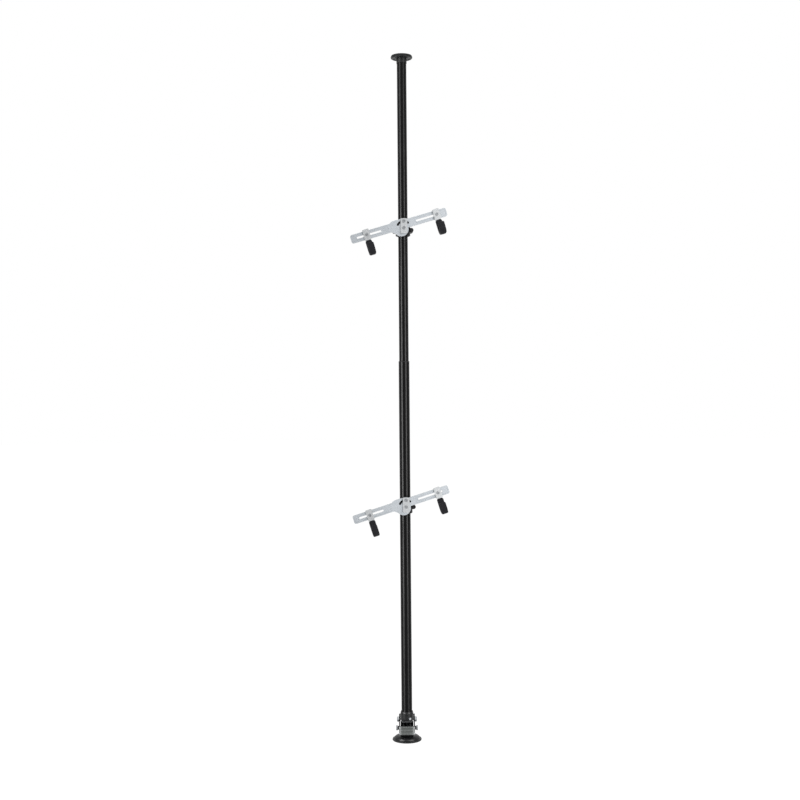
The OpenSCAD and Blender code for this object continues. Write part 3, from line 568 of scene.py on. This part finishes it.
def knob_cap(node, body, joint, materials):
    """The pressed-in cap with a raised rim on the back of a knob that turns about Y."""
    low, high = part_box(node)
    radius = (high.z - low.z) * CAP_SHARE
    axis = JOINTS[joint]["pos_m"]
    centre = Matrix.Translation((axis[0], high.y, axis[2]))
    place = centre @ Matrix.Rotation(math.radians(-90), 4, "X")
    profile = [
        (CAP_DIMPLE, -SUNK),
        (radius, -SUNK),
        (radius, CAP_SIDE),
        (radius - 0.5 * MM, CAP_RIM),
        (radius - 1.6 * MM, CAP_RIM),
        (radius - 2.2 * MM, CAP_FACE),
        (CAP_DIMPLE, CAP_FACE),
    ]
    mesh = bmesh.new()
    add_turned(mesh, place, profile)
    new_piece(f"{node}_cap", mesh, body, "black_plastic", materials)


def turned_piece(name, body, slot, materials, *profiles):
    """Turned beads and rings round the pole's axis, as one piece."""
    mesh = bmesh.new()
    for profile in profiles:
        add_turned(mesh, Matrix.Identity(4), profile)
    new_piece(name, mesh, body, slot, materials)


# The collar's radius, the width and rise of its two beads, and how far they are from its ends
COLLAR_RADIUS = 27 * MM
COLLAR_BEAD = (2.4 * MM, 0.7 * MM)
COLLAR_BEAD_UP = 8.4 * MM
COLLAR_BEAD_DOWN = 10.6 * MM
# One bead below a node's top: its name, node, body, slot, distance down, width and rise
RIM_BEADS = (
    ("ceiling_rim", "ceiling_cap", "ceiling_pad", "black_cast", 3 * MM, (3.2 * MM, 0.6 * MM)),
    ("mouth_bead", "telescope_bush", "column", "black_plastic", 1.5 * MM, (2.2 * MM, 0.5 * MM)),
)


def pole_details(materials):
    """Beads on the collar, the ceiling disc and the mouth of the lower tube."""
    low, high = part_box("column_foot")
    heights = (low.z + COLLAR_BEAD_UP, high.z - COLLAR_BEAD_DOWN)
    beads = [bead(COLLAR_RADIUS, height, *COLLAR_BEAD) for height in heights]
    turned_piece("collar_beads", "column", "black_cast", materials, *beads)
    for name, node, body, slot, down, size in RIM_BEADS:
        low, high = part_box(node)
        rim = bead((high.x - low.x) / 2, high.z - down, *size)
        turned_piece(name, body, slot, materials, rim)


# Thickness of the weld's bead, and the height and number of the ripples along it
WELD_SIZE = 1.3 * MM
WELD_RIPPLE = 0.25 * MM
WELD_RIPPLES = 19


def weld_bead(materials):
    """The weld round the height lock's boss, where it meets the lower tube."""
    boss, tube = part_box("lock_boss"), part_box("lower_tube")
    centre_z = (boss[0].z + boss[1].z) / 2
    boss_r = (boss[1].x - boss[0].x) / 2
    tube_r = tube[1].x
    mesh = bmesh.new()
    rings = []
    steps, sides = 64, 8
    for i in range(steps):
        turn = 2 * math.pi * i / steps
        outward = Vector((math.cos(turn), 0, math.sin(turn)))
        middle = outward * boss_r
        middle.y = math.sqrt(tube_r**2 - middle.x**2)
        size = WELD_SIZE + WELD_RIPPLE * math.sin(turn * WELD_RIPPLES)
        ring = []
        for k in range(sides):
            around = 2 * math.pi * k / sides
            off = Vector((0, size * math.sin(around), centre_z))
            ring.append(mesh.verts.new(middle + outward * size * math.cos(around) + off))
        rings.append(ring)
    join_rings(mesh, rings)
    new_piece("boss_weld", mesh, "column", "black_cast", materials)


# The room

# Turn about the pole, width and power of each strip that only reflections show
STRIPS = ((-56, 1.5, 390), (38, 1.15, 215))
STRIP_HEIGHT = 3.6
STRIP_DISTANCE = 3.2
# The gloss black pieces that those strips are set for
STRIP_LIT = (
    "lower_tube",
    "upper_tube",
    "telescope_bush",
    "column_foot",
    "floor_pad",
    "ceiling_cap",
)
# Turn about the pole, distance, size and power of each lamp
KEYS = ((-46, 3.2, (1.6, 3.2), 12), (31, 1.9, (1.5, 3.2), 17))
# Place, target, size and power of the lamp above
TOP_LAMP = ((-0.6, -1.6, 4.4), (0, 0, 1.0), (2.4, 2.4), 18)
# The world's strength where it lights the stand
WORLD_SOFT = 0.3
FLOOR_RADIUS = 40
# The floor's own grey, and what it glows to the camera so that it shows white
FLOOR_GREY = 0.34
FLOOR_GLOW = 0.92


def camera_sees(nodes, links):
    """One where a camera, glossy or transmitted ray looks, and zero for the light itself."""
    path = nodes.new("ShaderNodeLightPath")
    total = path.outputs["Is Camera Ray"]
    for ray in ("Is Glossy Ray", "Is Transmission Ray"):
        add = nodes.new("ShaderNodeMath")
        add.operation = "ADD"
        add.use_clamp = True
        links.new(total, add.inputs[0])
        links.new(path.outputs[ray], add.inputs[1])
        total = add.outputs[0]
    return total


def make_world():
    """White where the camera and reflections look, and a softer light elsewhere."""
    world = bpy.data.worlds.new("world")
    bpy.context.scene.world = world
    world.use_nodes = True
    nodes, links = world.node_tree.nodes, world.node_tree.links
    nodes.clear()
    soft = nodes.new("ShaderNodeBackground")
    white = nodes.new("ShaderNodeBackground")
    soft.inputs["Strength"].default_value = WORLD_SOFT
    for background in (soft, white):
        background.inputs["Color"].default_value = (1, 1, 1, 1)
    mix = nodes.new("ShaderNodeMixShader")
    links.new(camera_sees(nodes, links), mix.inputs["Fac"])
    links.new(soft.outputs[0], mix.inputs[1])
    links.new(white.outputs[0], mix.inputs[2])
    links.new(mix.outputs[0], nodes.new("ShaderNodeOutputWorld").inputs["Surface"])


def make_floor():
    """A pale floor that shows white and keeps the stand's shadow."""
    mesh = bmesh.new()
    bmesh.ops.create_circle(mesh, cap_ends=True, radius=FLOOR_RADIUS, segments=96)
    data = bpy.data.meshes.new("floor")
    mesh.to_mesh(data)
    mesh.free()
    floor = bpy.data.objects.new("floor", data)
    bpy.context.scene.collection.objects.link(floor)
    material = bpy.data.materials.new("floor")
    material.use_nodes = True
    nodes, links = material.node_tree.nodes, material.node_tree.links
    nodes.clear()
    matt = nodes.new("ShaderNodeBsdfDiffuse")
    matt.inputs["Color"].default_value = (FLOOR_GREY, FLOOR_GREY, FLOOR_GREY, 1)
    glow = nodes.new("ShaderNodeEmission")
    level = nodes.new("ShaderNodeMath")
    level.operation = "MULTIPLY"
    level.inputs[1].default_value = FLOOR_GLOW
    links.new(camera_sees(nodes, links), level.inputs[0])
    links.new(level.outputs[0], glow.inputs["Strength"])
    add = nodes.new("ShaderNodeAddShader")
    links.new(matt.outputs[0], add.inputs[0])
    links.new(glow.outputs[0], add.inputs[1])
    links.new(add.outputs[0], nodes.new("ShaderNodeOutputMaterial").inputs["Surface"])
    data.materials.append(material)


def area_light(name, place, target, size, power):
    """A soft rectangular lamp that the camera doesn't see directly."""
    data = bpy.data.lights.new(name, "AREA")
    data.shape = "RECTANGLE"
    data.size, data.size_y = size
    data.energy = power
    lamp = bpy.data.objects.new(name, data)
    bpy.context.scene.collection.objects.link(lamp)
    lamp.location = place
    lamp.rotation_euler = (Vector(target) - Vector(place)).to_track_quat("-Z", "Y").to_euler()
    lamp.visible_camera = False
    return lamp


def ring_light(name, turn, distance, size, power):
    """An upright lamp at a turn about the pole, that faces it."""
    middle = CAD_BOX[1].z / 2
    angle = math.radians(turn)
    place = (distance * math.sin(angle), -distance * math.cos(angle), middle)
    return area_light(name, place, (0, 0, middle), size, power)


def make_lights():
    """Two lamps and a top light, and the strips that give the pole its pair of bright lines."""
    for index, key in enumerate(KEYS):
        ring_light(f"key_{index}", *key)
    lit = bpy.data.collections.new("strip_lit")
    for name in STRIP_LIT:
        lit.objects.link(NODES[name])
    for index, (turn, width, power) in enumerate(STRIPS):
        size = (width, STRIP_HEIGHT)
        strip = ring_light(f"strip_{index}", turn, STRIP_DISTANCE, size, power)
        strip.visible_diffuse = False
        strip.light_linking.receiver_collection = lit
    area_light("top", *TOP_LAMP)


bpy.context.scene.view_settings.view_transform = "Standard"
make_camera()
finishes = make_materials()
dress_nodes(finishes)
for arm_name in ARMS:
    for side_name in SIDES:
        cradle_ribs(arm_name, side_name, finishes)
    knob_cap(f"{arm_name}_clamp_knob", f"{arm_name}_knob", f"{arm_name}_knob_turn", finishes)
knob_cap("lock_knob", "height_lock", "height_lock_turn", finishes)
serrations(finishes)
pole_details(finishes)
weld_bead(finishes)
make_world()
make_floor()
make_lights()
